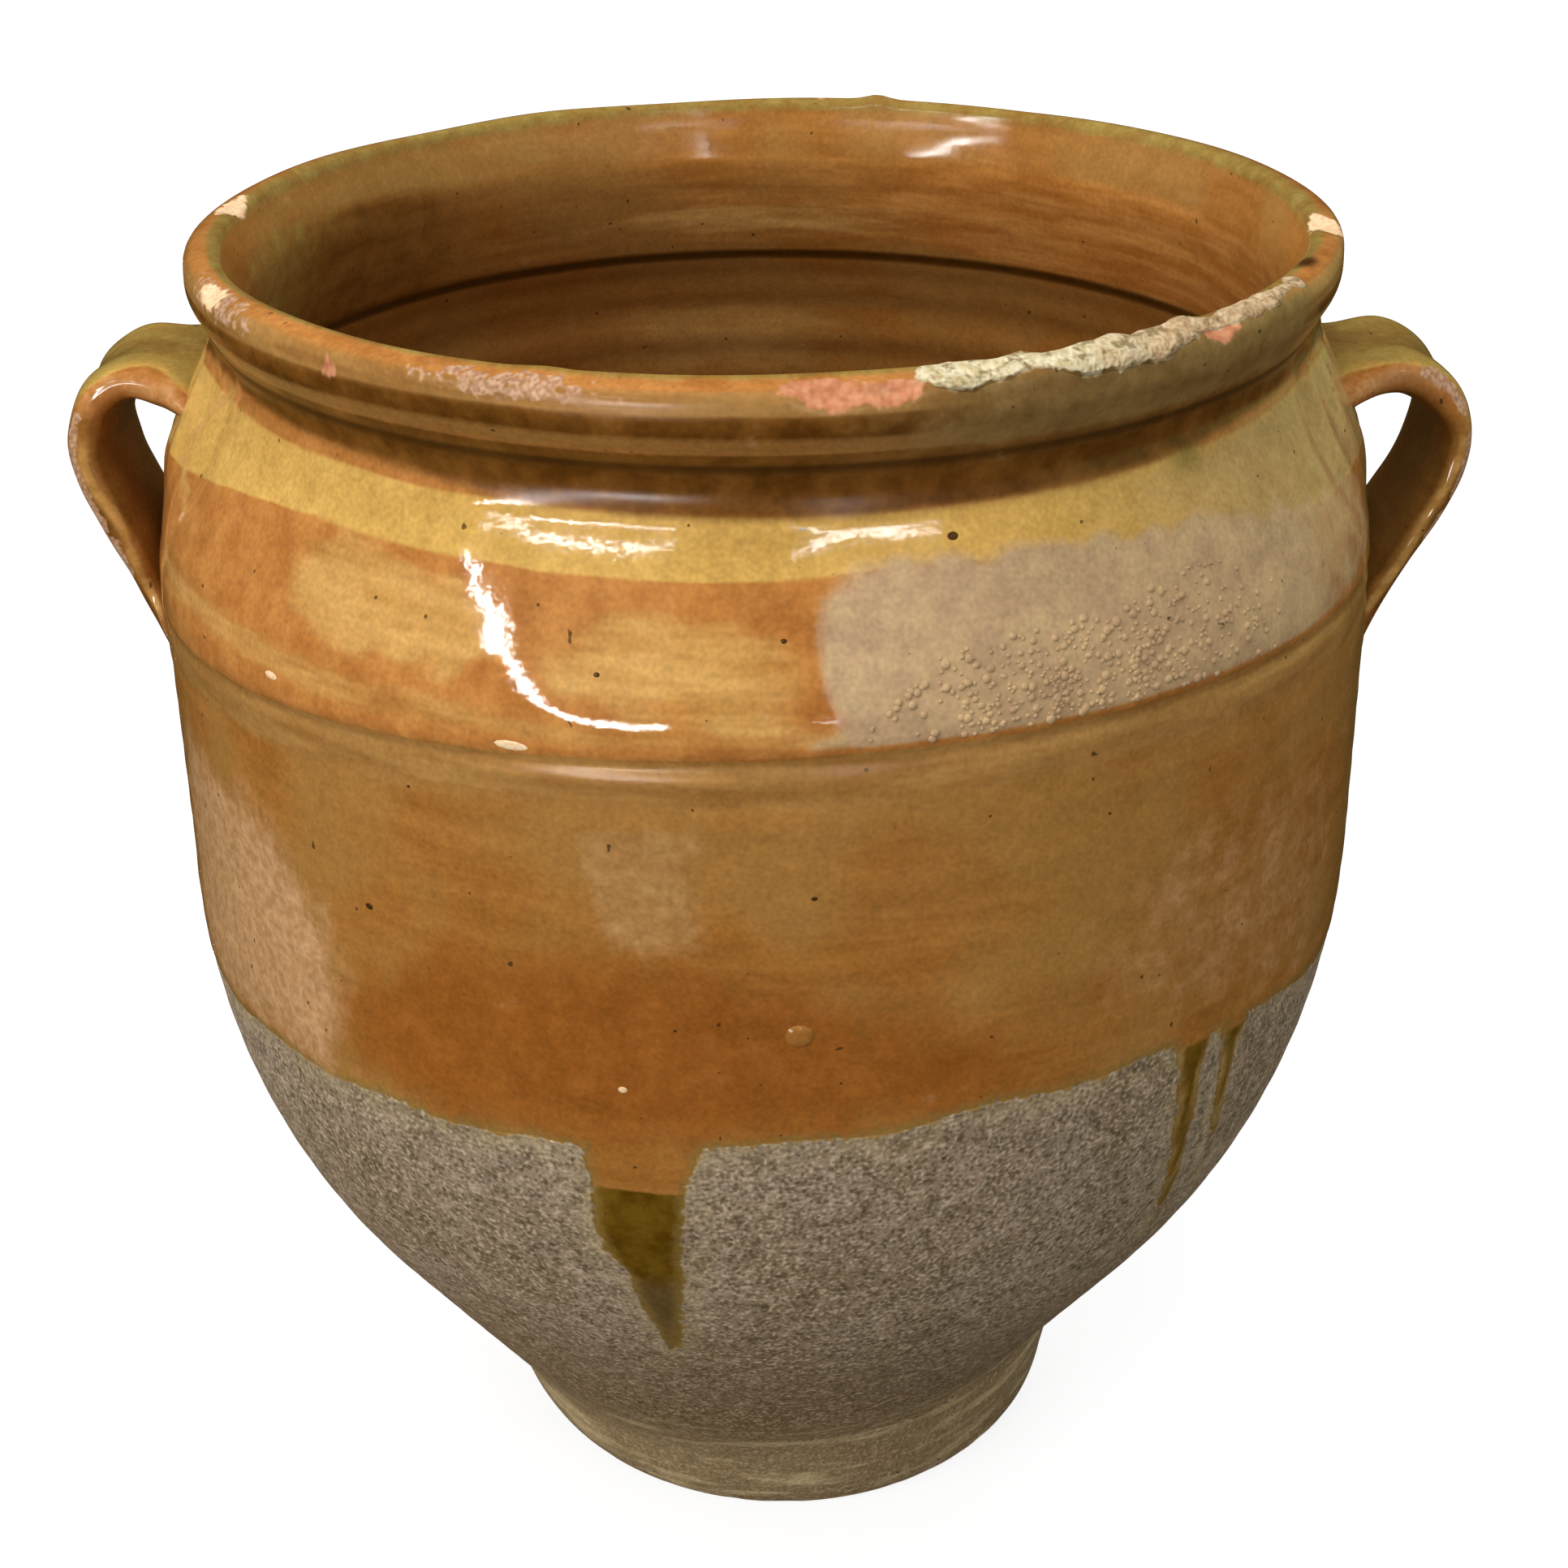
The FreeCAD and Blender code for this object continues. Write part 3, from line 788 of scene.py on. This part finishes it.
def dome(at_turn, at_z, wide, tall, rise):
    """Return the points and faces of a low dome on the wall."""
    middle = on_wall(at_turn, at_z)
    sideways = on_wall(at_turn + 0.4, at_z) - on_wall(at_turn - 0.4, at_z)
    upwards = on_wall(at_turn, at_z + 0.8) - on_wall(at_turn, at_z - 0.8)
    sideways, upwards = sideways / norm(sideways), upwards / norm(upwards)
    normal = np.cross(sideways, upwards)
    points, faces, sides = [], [], 10
    for lift in (-0.25, 0.45, 0.85):
        reach = math.sqrt(1 - max(lift, 0) ** 2)
        for angle in np.arange(sides) * 2 * math.pi / sides:
            points.append(middle + sideways * wide / 2 * reach * math.cos(angle)
                          + upwards * tall / 2 * reach * math.sin(angle) + normal * rise * lift)
    points.append(middle + normal * rise)
    for ring in (0, 1):
        for k in range(sides):
            after = (k + 1) % sides
            lower, upper = ring * sides, (ring + 1) * sides
            faces.append((lower + k, lower + after, upper + after, upper + k))
    faces.extend((2 * sides + k, 2 * sides + (k + 1) % sides, 3 * sides) for k in range(sides))
    return points, faces


rng = np.random.default_rng(7)
domes = []
blister_count = 460
while len(domes) < blister_count:
    at_turn, at_z = rng.uniform(-83, -42), rng.uniform(217.5, 238)
    top = np.interp(at_turn, [-83, -76, -60, -50, -42], [222, 233, 235, 238, 230])
    floor_line = 208.0 + 11.0 * math.cos(math.radians(at_turn + 68)) + 1.2
    thick = math.exp(-((at_turn + 63) / 14) ** 2) * (0.35 + 0.65 * math.exp(-((at_z - 225) / 6) ** 2))
    if floor_line < at_z < top and rng.random() < thick + 0.12:
        wide = 0.7 + 1.1 * rng.random() ** 2.5
        domes.append(("matte", at_turn, at_z, wide, wide * rng.uniform(0.8, 1.1), 0.20 * wide + 0.08))
iron_specks = [(-74.3, 248.8, 1.9), (-125.3, 179.9, 1.8), (-86.8, 193.6, 1.1), (-88.9, 235.7, 1.1),
               (-103.6, 230, 1.1), (-120, 206, 0.7), (-62, 201, 0.7), (-98, 168, 0.7)]
for at_turn, at_z, wide in iron_specks:
    domes.append(("dark", at_turn, at_z, wide, wide * 0.75, 0.10))
domes.append(("plain", -88.1, 167.5, 5.0, 4.6, 0.45))
domes += [("cream", -102.5, 155.2, 1.7, 1.3, 0.12), ("cream", -110.4, 217.5, 6.0, 1.6, 0.12),
          ("cream", -135.3, 216.9, 3.4, 1.4, 0.12)]
dome_points, dome_faces, dome_kinds = [], [], []
for kind, *shape in domes:
    points, faces = dome(*shape)
    dome_faces.extend(tuple(len(dome_points) + v for v in face) for face in faces)
    dome_points.extend(points)
    dome_kinds.extend([kind] * len(points))
dome_kinds = np.array(dome_kinds)
dome_masks = glazed_all_over(len(dome_kinds))
for name in ("matte", "dark"):
    dome_masks[name] = (dome_kinds == name) * 1.0
dome_masks["cream"] = np.where(dome_kinds == "cream", edge_reach, -edge_reach)
blisters = make_piece("glaze_blisters", dome_points, dome_faces, dome_masks)
print("domes", len(domes))

# %% [markdown]
# ## Strap handles
# Each handle is a strap pulled by hand: flat, with rounded edges, a shallow valley along its back where
# the thumb ran, a root that spreads where it was pressed on, and a heel that ends in a rounded tongue.
# We sweep that section along a smooth line through the places that the strap passes, seen from the front.

# %% A smooth line
def smooth_path(stops, count):
    """Return even points on a smooth curve through a few stops."""
    stops = np.array(stops, float)
    padded = np.vstack([2 * stops[0] - stops[1], stops, 2 * stops[-1] - stops[-2]])
    fine = []
    for a, b, c, d in zip(padded, padded[1:], padded[2:], padded[3:]):
        for t in np.linspace(0, 1, 40, endpoint=False):
            fine.append(0.5 * (2 * b + (c - a) * t + (2 * a - 5 * b + 4 * c - d) * t ** 2
                               + (3 * b - a - 3 * c + d) * t ** 3))
    fine = np.array(fine + [stops[-1]])
    travel = np.concatenate([[0], np.cumsum(norm(np.diff(fine, axis=0), axis=1))])
    even = np.linspace(0, travel[-1], count)
    return np.array([np.interp(even, travel, fine[:, k]) for k in range(fine.shape[1])]).T, even


along_count, round_count = 190, 84
print("a strap has", along_count * round_count, "points")

# %% [markdown]
# The section is an oval with flat sides. It is widest at the root and thins towards the heel, and a few
# slow waves keep it as uneven as a strap that was pulled through a wet hand.

# %% The form of a strap
strap_half_width = 16.0
valley_depth = 1.7
round_turn = np.linspace(0, 2 * math.pi, round_count, endpoint=False)[None, :]
cos, sin = np.cos(round_turn), np.sin(round_turn)


def shape_strap(side, stops, valley, seed):
    """Sweep a strap. A stop is its distance from the axis, its height and its thickness there.

    Return its points, how far along the strap each row lies, and how much of the valley each point has.
    """
    path, travel = smooth_path(stops, along_count)
    ahead = np.gradient(path[:, :2], axis=0)
    ahead /= norm(ahead, axis=1)[:, None]
    outward_x, outward_z = -ahead[:, 1], ahead[:, 0]
    if outward_x.mean() < 0:
        outward_x, outward_z = -outward_x, -outward_z
    share = (travel / travel[-1])[:, None]
    half_thick = path[:, 2:3] / 2
    root = 1 - ease(travel, 2, 17)[:, None]
    heel = ease(travel, travel[-1] - 22, travel[-1] - 3)[:, None]
    tongue = np.sqrt(1 - np.clip((travel - travel[-1] + 9) / 9, 0, 0.985) ** 2)[:, None]
    half_wide = strap_half_width * (1 + 0.38 * root ** 1.5 + 0.2 * heel) * tongue
    half_thick = half_thick * (1 + 0.5 * root ** 2 - 0.35 * heel)
    across = half_wide * np.sign(cos) * np.abs(cos) ** 0.62
    thin_sides = 1 - 0.55 * np.maximum(root, heel) * (across / half_wide) ** 2
    up = half_thick * np.sign(sin) * np.abs(sin) ** 0.8 * thin_sides
    in_valley = np.clip(1 - (across / (half_wide * 0.78)) ** 2, 0, 1) ** 1.5
    up = up - np.where(sin > 0, valley * in_valley * (1 - 0.8 * root) * (1 - 0.7 * heel), 0)
    rng = np.random.default_rng(seed)
    for wave in range(1, 6):
        push = np.cos(wave * share * 9 + rng.uniform(0, 6) + round_turn * rng.integers(1, 4))
        up = up + 0.11 * push * np.abs(sin)
        across = across + 0.10 * push * np.abs(cos)
    x_now = side * (path[:, 0:1] + outward_x[:, None] * up)
    z_strap = path[:, 1:2] + outward_z[:, None] * up
    y_strap = across + 0 * up
    x_now = np.clip(x_now, cad_low.x / MM, cad_high.x / MM)
    ring = np.stack([x_now, y_strap, z_strap], 2).reshape(-1, 3)
    start = np.array([[side * path[0, 0], 0, path[0, 1]]])
    end = np.array([[side * path[-1, 0], 0, path[-1, 1]]])
    return np.vstack([ring, start, end]), share, in_valley


print("straps are", 2 * strap_half_width, "mm wide")

# %% [markdown]
# The glaze on a strap is thick and olive on its back, brown in the valley and below, and worn to the clay
# in patches on its outer front edge, where it knocks against things. Its inner face, towards the pot, is
# darkened with painted shade.

# %% The zones of a strap
def strap_zones(share, in_valley, seed, worn_spans):
    """Return the masks of a strap. Its edge is worn between the two ends of each span."""
    on_back = ease(sin + 0.12 * np.sin(share * 25 + seed) + 0 * share, 0.35, 0.8)
    front_edge = bell(np.degrees(round_turn), 172, 34) + 0 * share
    outer_front = bell(np.degrees(round_turn), 158, 17)
    worn = 0 * share
    for low, high in worn_spans:
        worn = worn + ease(share, low - 0.02, low + 0.02) * fade(share, high - 0.02, high + 0.02)
    # The inner face, towards the pot, which is darkened below as painted shade.
    inner_face = ease(-sin + 0 * share, 0.30, 0.6)
    at_root = 1 - ease(share, 0.24, 0.36)
    stripe_turn = np.degrees(round_turn) - 187 - 7 * np.sin(share * 21 + seed)
    slip_stripe = 0.9 * bell(stripe_turn, 0, 13) * ease(share, 0.30, 0.42) * fade(share, 0.78, 0.95)
    strap_masks = glazed_all_over((along_count, round_count))
    strap_masks.update({
        "shoulder": np.clip(front_edge * at_root + 0.3 * on_back, 0, 1),
        "yellow": np.clip(0.9 * on_back * fade(share, 0.18, 0.4) * (1 - in_valley), 0, 1),
        "streaks": slip_stripe,
        # Brown on the inner face is painted shade; in the valley and down the front edge it is the glaze.
        "brown_and_painted_shade": np.clip(0.85 * front_edge * ease(share, 0.30, 0.42) * (1 - slip_stripe)
                         + 0.5 * on_back * in_valley + 0.5 * inner_face, 0, 1),
        "olive": np.clip(on_back * 0.8, 0, 1),
        "salmon": 0.5 * front_edge * at_root,
        "glow": 0.8 * front_edge * ease(share, 0.62, 0.8),
        "worn": np.clip(outer_front * worn * 1.2, 0, 1),
        # Painted shade on the inner face.
        "dark": np.clip(0.42 * inner_face, 0, 1),
    })
    for mask_name, values in strap_masks.items():
        whole = np.broadcast_to(values, (along_count, round_count))
        strap_masks[mask_name] = with_ends(whole, whole[0, 0], whole[-1, -1])
    return strap_masks


def make_strap(name, side, stops, valley, seed, worn_spans):
    """Make one handle."""
    points, share, in_valley = shape_strap(side, stops, valley, seed)
    faces = tube_faces(along_count, round_count, flip=side > 0)
    return make_piece(name, points, faces, strap_zones(share, in_valley, seed, worn_spans))


left_stops = [(106.2, 241, 9.0), (109, 242.8, 9.4), (113, 244.2, 9.2), (120.5, 245.0, 9.0),
              (126.6, 241.0, 9.0), (129.7, 233.5, 9.0), (129.3, 226, 8.8), (126.4, 217.5, 8.6),
              (122, 206.5, 8.0), (118.4, 195.5, 6.4), (114, 185, 5.0)]
right_stops = [(106.2, 240, 9.0), (109.5, 241.8, 9.4), (114, 243.2, 9.5), (123, 244.8, 9.4),
               (130.2, 241.2, 8.4), (134.6, 234.0, 7.0), (134.4, 226.5, 6.8), (131.6, 218.0, 6.8),
               (126.6, 208.5, 6.8), (121.8, 198.5, 6.8), (118.2, 188, 6.0), (113.6, 177, 5.0)]
left_strap = make_strap("left_strap", -1, left_stops, valley_depth, 71, [(0.30, 0.72)])
right_strap = make_strap("right_strap", 1, right_stops, valley_depth * 0.8, 72,
                         [(0.2, 0.33), (0.36, 0.5), (0.52, 0.6)])
print("straps have", len(left_strap.data.polygons), "and", len(right_strap.data.polygons), "faces")

# %% [markdown]
# ## Glazed earthenware
# The clay is a common red earthenware, covered in white slip and a honey lead glaze: a clear, slightly
# brown glass. It mirrors windows sharply, and its colour is that of what lies under it. The bare part is
# biscuit: fired clay with no glaze, dull, grey and sandy. We paint from the bottom layer up. A layer is
# its mask, the edge of the mask, how much noise breaks that edge and of what grain in mm, two colours
# that a second noise mixes, and how rough the surface is there.

# %% Grains
pot_material, tree = empty_material("honey_glazed_earthenware")
place = add(tree, "TexCoord").outputs["Object"]
wheel_marks = add(tree, "Mapping", {"Vector": place, "Scale": (0.14, 0.14, 1.0)}).outputs[0]


def grain(size, detail=2.0, vector=None, seed=0.0):
    """Return a noise socket, from 0 to 1, whose lumps are about this many mm across."""
    shifted = add(tree, "VectorMath", {0: vector or place, 1: (seed, seed * 0.7, seed * 0.3)})
    noise = add(tree, "TexNoise",
                {"Vector": shifted.outputs[0], "Scale": 1000 / size, "Detail": detail, "Roughness": 0.6})
    return noise.outputs[0]


def sum_of(terms, start=0.0):
    """Return the sum of sockets, each times its weight."""
    total = start
    for value, weight in terms:
        total = add(tree, "Math", {0: value, 1: weight, 2: total},
                    operation="MULTIPLY_ADD").outputs[0]
    return total


def paint(base, coat, value, low, high, most=1.0, least=0.0):
    """Lay a coat over a base, as thinly as least where a value is low and as fully as most where high.

    Base and coat are two colours, each a hex value or a socket, or else two roughnesses.
    """
    share = add(tree, "MapRange", {0: value, 1: low, 2: high, 3: least, 4: most}).outputs[0]
    if isinstance(base, float):
        return add(tree, "Mix", {0: share, 2: base, 3: coat}, data_type="FLOAT").outputs[0]
    pair = [linear(c) if isinstance(c, str) else c for c in (base, coat)]
    return add(tree, "Mix", {0: share, 6: pair[0], 7: pair[1]}, data_type="RGBA").outputs[2]


grains = {"speck": grain(0.8, 0.0, seed=0.3), "fleck": grain(2.0, 1.0, seed=0.5),
          "crumb": grain(6.0, 2.0, seed=0.7), "cloud": grain(26.0, 1.0, seed=0.9),
          "wheel": grain(3.4, 2.0, wheel_marks, 1.7)}
print("grains:", ", ".join(grains))

# %% [markdown]
# ## Painting the layers
# The first colour is the amber of the belly. Each layer then covers part of what is below it.

# %% Layers
layers = [
    ("shoulder", 0.3, 0.7, 0.4, "crumb", "#aa6c33", "#b67a3e", "crumb", 0.05),
    ("ledge", 0.3, 1.0, 0.5, "wheel", "#916531", "#a37840", "wheel", 0.28),
    ("glow", 0.15, 1.0, 0.7, "crumb", "#8a501b", "#925822", "crumb", 0.15),
    ("salmon", 0.15, 1.0, 0.8, "crumb", "#b48657", "#bf956a", "fleck", 0.22),
    # The painted reflection on the belly, lighter than the amber round it.
    ("painted_reflection", 0.15, 0.85, 0.6, "fleck", "#a0733f", "#ac8350", "crumb", 0.22),
    ("orange", 0.25, 0.9, 0.6, "wheel", "#a5662a", "#bb8040", "wheel", 0.10),
    ("yellow", 0.35, 0.65, 0.5, "wheel", "#c59a4e", "#caa054", "crumb", 0.06),
    ("dull_yellow", 0.1, 1.2, 0.4, "crumb", "#ab8a56", "#b5945e", "crumb", 0.12),
    ("streaks", 0.15, 1.0, 1.0, "wheel", "#b98a49", "#c69856", "wheel", 0.06),
    ("olive", 0.3, 1.0, 0.7, "crumb", "#856e33", "#967f40", "crumb", 0.12),
    # Brown and dark also paint shade, inside the pot and on the inner faces of the straps.
    ("brown_and_painted_shade", 0.25, 0.95, 0.6, "wheel", "#5c360a", "#764a18", "crumb", 0.26),
    ("dark", 0.2, 0.9, 0.4, "crumb", "#3d2203", "#4c2e08", "crumb", 0.40),
    ("matte", 0.20, 0.80, 0.5, "crumb", "#b0906c", "#b89a70", "crumb", 0.38),
    ("dusty", 0.1, 1.0, 0.7, "crumb", "#785a2e", "#876a3c", "crumb", 0.35),
    ("worn", 0.55, 0.80, 1.4, "fleck", "#a47a5a", "#ba9474", "speck", 0.45),
    ("pink", -0.4, 0.3, 2.4, "fleck", "#b8744e", "#c48762", "fleck", 0.85),
    ("cream", -0.4, 0.3, 2.4, "fleck", "#ead0a6", "#dab286", "speck", 0.8),
    ("crust", -0.4, 0.4, 3.4, "fleck", "#e2d6b2", "#bca97e", "fleck", 0.85),
    ("old_crust", 0.2, 0.8, 1.2, "crumb", "#b09068", "#cbb08a", "fleck", 0.85),
    ("pale_run", 0.3, 0.8, 0.5, "fleck", "#93804e", "#a8905c", "crumb", 0.15),
    ("run", 0.3, 0.7, 0.3, "fleck", "#583c06", "#6b5014", "crumb", 0.07),
    ("thin_run", 0.2, 0.9, 0.4, "crumb", "#5c4726", "#6a5330", "crumb", 0.15),
]
amber = paint("#986229", "#a36d32", grains["wheel"], 0.35, 0.65)
colour = paint(amber, "#9d7038", grains["cloud"], 0.4, 0.62)
rough = add(tree, "MapRange", {0: grains["crumb"], 1: 0.35, 2: 0.65, 3: 0.10, 4: 0.17}).outputs[0]
for name, low, high, ragged, edge_grain, dark_hex, light_hex, mix_grain, roughness in layers:
    mask = add(tree, "Attribute", attribute_name=name).outputs["Fac"]
    edge = sum_of([(grains[edge_grain], ragged)], mask)
    cover = add(tree, "MapRange", {0: edge, 1: low + ragged / 2, 2: high + ragged / 2},
                interpolation_type="SMOOTHSTEP").outputs[0]
    tint = paint(dark_hex, light_hex, grains[mix_grain], 0.36, 0.64)
    colour = add(tree, "Mix", {0: cover, 6: colour, 7: tint}, data_type="RGBA").outputs[2]
    rough = add(tree, "Mix", {0: cover, 2: rough, 3: roughness}, data_type="FLOAT").outputs[0]
    if name == "crust":
        crust_mask, crust_cover = mask, cover
print("colour layers", len(layers))

# %% [markdown]
# Honey glaze is never one even tone: iron specks and tiny bubbles mottle it from a millimetre up to a
# few centimetres. One factor, made of all the grains, darkens and lightens it everywhere. The biscuit
# below it is sandy, browner towards the foot, and yellowed by fumes close under the glaze.

# %% Mottle, glaze edge and biscuit
mottle = sum_of([(grains["speck"], 0.34), (grains["fleck"], 0.30), (grains["crumb"], 0.24),
                 (grains["cloud"], 0.22), (grains["wheel"], 0.16)], 1.0 - 0.63)
glaze_mask = add(tree, "Attribute", attribute_name="glaze").outputs["Fac"]
glaze_mm = sum_of([(glaze_mask, 1.0), (grains["fleck"], 3.2), (grains["crumb"], 1.8)], -2.5)
colour = paint(colour, "#8a6f3a", glaze_mm, 2.6, 0.4, 0.75)
high_up = add(tree, "SeparateXYZ", {0: place}).outputs[2]
grit = grain(2.4, 2.0, seed=3.3)
biscuit = paint("#93806a", "#86735a", grains["cloud"], 0.40, 0.58)
sandy_coats = [
    ("#a08b76", grains["crumb"], 0.50, 0.66, 0.5), ("#7c6442", high_up, 0.100, 0.040, 1.0),
    ("#5a4b31", grit, 0.45, 0.36, 0.6), ("#b7a48c", grit, 0.56, 0.66, 0.5),
    ("#53452f", grains["speck"], 0.40, 0.28, 0.6), ("#c2b096", grains["speck"], 0.60, 0.74, 0.55),
    ("#6a5940", grains["wheel"], 0.60, 0.70, 0.35),
]
for coat in sandy_coats:
    biscuit = paint(biscuit, *coat)
fumed = paint(biscuit, "#a5936c", grains["crumb"], 0.40, 0.60, 0.8, 0.1)
biscuit = paint(biscuit, fumed, glaze_mm, -6.0, -1.0, 0.65)
foot_top, foot_full = 0.040, 0.022
biscuit = paint(biscuit, "#937d5a", high_up, foot_top, foot_full, 0.6)
creamy = paint(biscuit, "#bca77e", grains["wheel"], 0.50, 0.64, 0.75)
biscuit = paint(biscuit, creamy, high_up, foot_top, foot_full)
glaze_starts, glaze_covers = -0.15, 0.35
rough = paint(0.92, rough, glaze_mm, glaze_starts, glaze_covers)
colour = paint(biscuit, colour, glaze_mm, glaze_starts, glaze_covers)
colour = add(tree, "VectorMath", {0: colour, "Scale": mottle}, operation="SCALE").outputs[0]

# %% [markdown]
# ## Pinholes and relief
# A pinhole is where a gas bubble burst through the glaze and left a dark pit. The relief is the grain of
# the clay: strong on the bare biscuit and the crust, and nearly drowned under the glaze.

# %% Pinholes and relief
colour = paint(colour, "#3a2810", grain(1.7, 0.0, seed=2.1), 0.845, 0.87, 0.8)
bare = add(tree, "MapRange", {0: glaze_mask, 1: 0.3, 2: -0.3}).outputs[0]
broken = add(tree, "MapRange", {0: crust_mask, 1: -0.4, 2: 0.4, 4: 0.5}).outputs[0]
pitted = paint(colour, "#7d6a44", grit, 0.47, 0.36, 0.8)
colour = add(tree, "Mix", {0: crust_cover, 6: colour, 7: pitted}, data_type="RGBA").outputs[2]
relief = sum_of([(grains["speck"], sum_of([(bare, 0.22), (broken, 1.0)], 0.004)),
                 (grains["fleck"], sum_of([(bare, 0.30), (broken, 0.8)], 0.010))])
surface = add(tree, "Bump", {"Height": relief, "Strength": 1.0, "Distance": MM})
shader = add(tree, "BsdfPrincipled", {
    "Base Color": colour, "Roughness": rough, "Normal": surface.outputs[0],
    "IOR": 1.5, "Specular IOR Level": 0.4, "Metallic": 0.0,
})
add(tree, "OutputMaterial", {"Surface": shader.outputs[0]})
print("material has", len(tree.nodes), "nodes")

# %% [markdown]
# ## Putting it together
# The skin, the straps and the blisters are all the one fired piece, so they all ride on its one body.

# %% Assign and finish
for piece in (pot, left_strap, right_strap, blisters):
    piece.data.materials.append(pot_material)
    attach(piece, "root")
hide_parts("pot")
